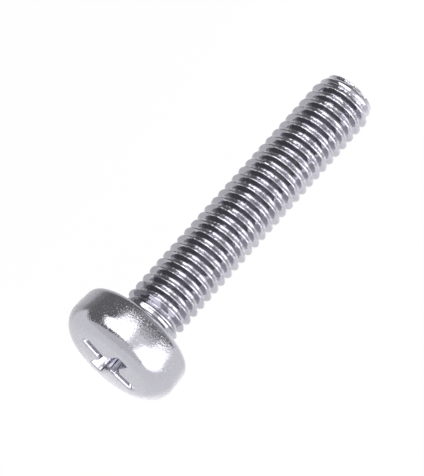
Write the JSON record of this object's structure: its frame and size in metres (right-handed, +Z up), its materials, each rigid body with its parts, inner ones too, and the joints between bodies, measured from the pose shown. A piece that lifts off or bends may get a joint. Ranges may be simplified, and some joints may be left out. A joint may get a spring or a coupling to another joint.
{
  "type": "machine screw",
  "caption": "Fully threaded pan head machine screw with a cross recess, for clamping parts through a clearance hole into a matching metric thread or nut.",
  "frame": {"origin": "on the screw's axis, in the plane of the head's bearing face", "axes": "+X from the head to the tip, +Z up from the surface that the screw lies on. The screw lies on the rim of its head and on the crest of its thread near the tip, so its axis dips 5.44 degrees below +X towards the tip, in the XZ plane, and the mounts give it exactly."},
  "size_m": [0.0287, 0.0094, 0.0095],
  "materials": {
    "steel": "bright stainless steel, satin and slightly grainy on the head, polished on the thread"
  },
  "bodies": {
    "root": {"machine_screw": "steel"}
  },
  "joints": []
}
